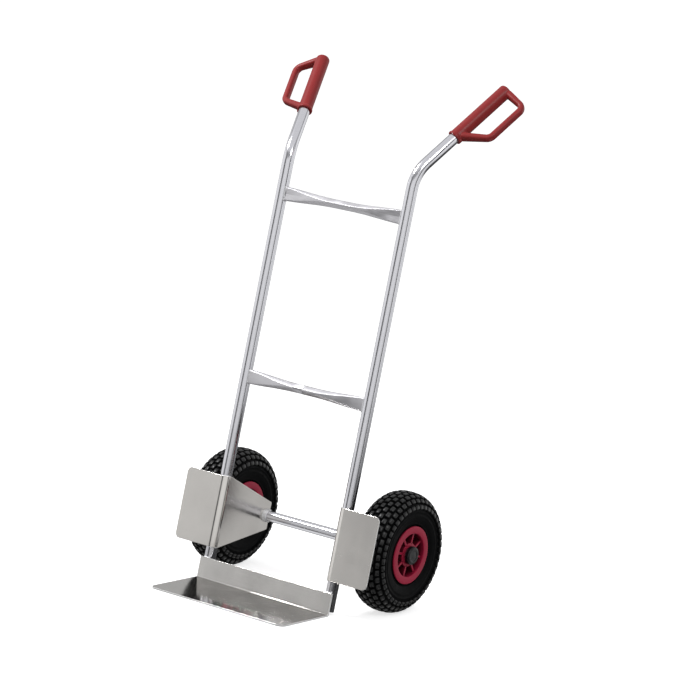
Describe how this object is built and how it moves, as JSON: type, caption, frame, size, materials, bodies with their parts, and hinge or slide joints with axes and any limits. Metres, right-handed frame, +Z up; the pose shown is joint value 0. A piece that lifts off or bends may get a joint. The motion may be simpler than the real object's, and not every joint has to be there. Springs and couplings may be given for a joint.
{
  "type": "hand truck",
  "caption": "Hand truck with bent tube frame, splayed handles with knuckle guards, pressed crossbars, folded toe plate, wheel brackets and pneumatic wheels.",
  "frame": {"origin": "on the floor, under the middle of the truck's bounding box", "axes": "+Z up, -Y the way the toe plate points, +Y the way the handles lean, +X to the right as seen from the load side; left and right in the names are as seen from there too"},
  "size_m": [0.6008, 0.5064, 1.1175],
  "materials": {
    "polished_tube": "polished",
    "bar_aluminium": "satin",
    "sheet_aluminium": "mill finish sheet",
    "grip_plastic": "satin moulded",
    "rim_plastic": "satin moulded",
    "tyre_rubber": "block tread rubber",
    "tube_rubber": "butyl rubber",
    "steel": "drawn steel",
    "zinc_steel": "zinc plated",
    "brass": "turned",
    "black_plastic": "satin moulded"
  },
  "bodies": {
    "frame": {"left_side_tube": "polished_tube", "right_side_tube": "polished_tube", "upper_crossbar": "bar_aluminium", "lower_crossbar": "bar_aluminium", "left_wheel_bracket": "sheet_aluminium", "right_wheel_bracket": "sheet_aluminium", "left_grip": "grip_plastic", "right_grip": "grip_plastic", "toe_plate": "sheet_aluminium", "axle_tube": "polished_tube", "axle_rod": "steel", "left_outer_washer": "zinc_steel", "left_inner_washer": "zinc_steel", "left_axle_cap": "black_plastic", "right_outer_washer": "zinc_steel", "right_inner_washer": "zinc_steel", "right_axle_cap": "black_plastic"},
    "left_wheel": {"left_tyre": "tyre_rubber", "left_inner_tube": "tube_rubber", "left_valve_stem": "brass", "left_valve_cap": "black_plastic", "left_rim_outer_half": "rim_plastic", "left_rim_inner_half": "rim_plastic", "left_rim_bolt_1": "zinc_steel", "left_rim_bolt_2": "zinc_steel", "left_rim_bolt_3": "zinc_steel", "left_rim_bolt_4": "zinc_steel", "left_rim_nut_1": "zinc_steel", "left_rim_nut_2": "zinc_steel", "left_rim_nut_3": "zinc_steel", "left_rim_nut_4": "zinc_steel"},
    "left_roller_cage": {"left_roller_cage": "steel"},
    "right_wheel": {"right_tyre": "tyre_rubber", "right_inner_tube": "tube_rubber", "right_valve_stem": "brass", "right_valve_cap": "black_plastic", "right_rim_outer_half": "rim_plastic", "right_rim_inner_half": "rim_plastic", "right_rim_bolt_1": "zinc_steel", "right_rim_bolt_2": "zinc_steel", "right_rim_bolt_3": "zinc_steel", "right_rim_bolt_4": "zinc_steel", "right_rim_nut_1": "zinc_steel", "right_rim_nut_2": "zinc_steel", "right_rim_nut_3": "zinc_steel", "right_rim_nut_4": "zinc_steel"},
    "right_roller_cage": {"right_roller_cage": "steel"}
  },
  "joints": [
    {"name": "left_wheel_spin", "type": "hinge", "parent": "frame", "child": "left_wheel", "pos_m": [-0.22, 0.06603, 0.13], "axis": [1, 0, 0], "continuous": true},
    {"name": "left_roller_cage_spin", "type": "hinge", "parent": "frame", "child": "left_roller_cage", "pos_m": [-0.22, 0.06603, 0.13], "axis": [1, 0, 0], "continuous": true},
    {"name": "right_wheel_spin", "type": "hinge", "parent": "frame", "child": "right_wheel", "pos_m": [0.22, 0.06603, 0.13], "axis": [1, 0, 0], "continuous": true},
    {"name": "right_roller_cage_spin", "type": "hinge", "parent": "frame", "child": "right_roller_cage", "pos_m": [0.22, 0.06603, 0.13], "axis": [1, 0, 0], "continuous": true}
  ],
  "couplings": [
    {"joint": "left_roller_cage_spin", "follows": "left_wheel_spin", "ratio": 0.576},
    {"joint": "right_roller_cage_spin", "follows": "right_wheel_spin", "ratio": 0.576}
  ]
}
